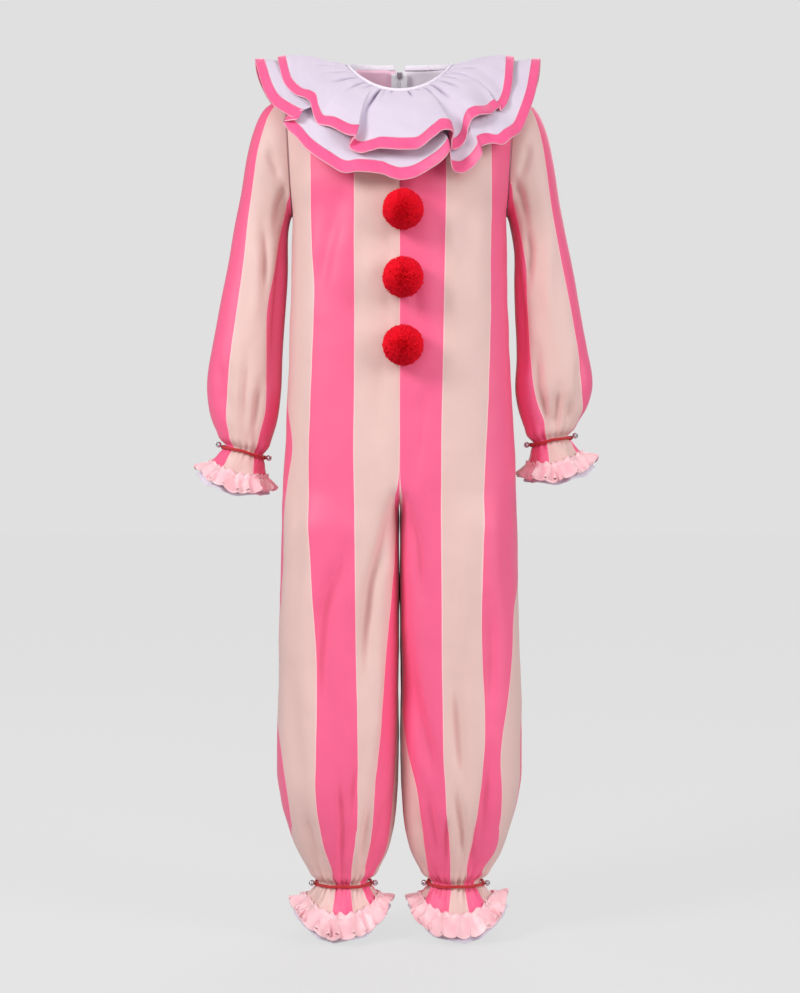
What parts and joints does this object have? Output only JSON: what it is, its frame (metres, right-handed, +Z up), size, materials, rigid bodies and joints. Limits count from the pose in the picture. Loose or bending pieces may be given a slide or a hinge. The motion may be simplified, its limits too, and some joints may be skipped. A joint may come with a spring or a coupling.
{
  "type": "clown jumpsuit",
  "caption": "Hollow striped clown jumpsuit in its worn shape, with a banded two-tier ruff collar, fur pompoms, gathered ribbon cuffs with bells and a back zip.",
  "frame": {"origin": "between the wearer's shoulders, level with the sides of the neck, midway between the front and back of the neck seam", "axes": "+Z up, the front faces -Y, +X towards the wearer's left"},
  "size_m": [0.6055, 0.3233, 1.3159],
  "materials": {
    "striped_satin": "satin, pink and cream stripes",
    "ruff_white": "matte woven",
    "band_pink": "satin",
    "ribbon_satin": "satin",
    "frill_white": "fine woven",
    "cord_red": "braided",
    "bell_silver": "polished",
    "pompom_red": "furry",
    "zip_tape": "woven",
    "zip_teeth": "moulded",
    "zip_metal": "satin"
  },
  "bodies": {
    "suit": {"front_left": "striped_satin", "front_right": "striped_satin", "back_left": "striped_satin", "back_right": "striped_satin", "sleeve_left": "striped_satin", "sleeve_right": "striped_satin", "collar_lower": "ruff_white", "collar_upper": "ruff_white", "collar_lower_band": "band_pink", "collar_upper_band": "band_pink", "neck_binding": "ruff_white", "wrist_left_ribbon": "ribbon_satin", "wrist_left_under_frill": "frill_white", "wrist_left_cord": "cord_red", "wrist_left_bell_outer": "bell_silver", "wrist_left_bell_inner": "bell_silver", "wrist_right_ribbon": "ribbon_satin", "wrist_right_under_frill": "frill_white", "wrist_right_cord": "cord_red", "wrist_right_bell_outer": "bell_silver", "wrist_right_bell_inner": "bell_silver", "ankle_left_ribbon": "ribbon_satin", "ankle_left_under_frill": "frill_white", "ankle_left_cord": "cord_red", "ankle_left_bell_outer": "bell_silver", "ankle_left_bell_inner": "bell_silver", "ankle_right_ribbon": "ribbon_satin", "ankle_right_under_frill": "frill_white", "ankle_right_cord": "cord_red", "ankle_right_bell_outer": "bell_silver", "ankle_right_bell_inner": "bell_silver", "pompom_top": "pompom_red", "pompom_middle": "pompom_red", "pompom_bottom": "pompom_red", "zip_tape_left": "zip_tape", "zip_tape_right": "zip_tape", "zip_chain": "zip_teeth", "zip_slider": "zip_metal"},
    "zip_pull": {"zip_pull": "zip_metal"}
  },
  "joints": [
    {"name": "pull_tab_hinge", "type": "hinge", "parent": "suit", "child": "zip_pull", "pos_m": [0, 0.06525, 0.00422], "axis": [1, 0, 0], "range_deg": [0, 150]}
  ]
}
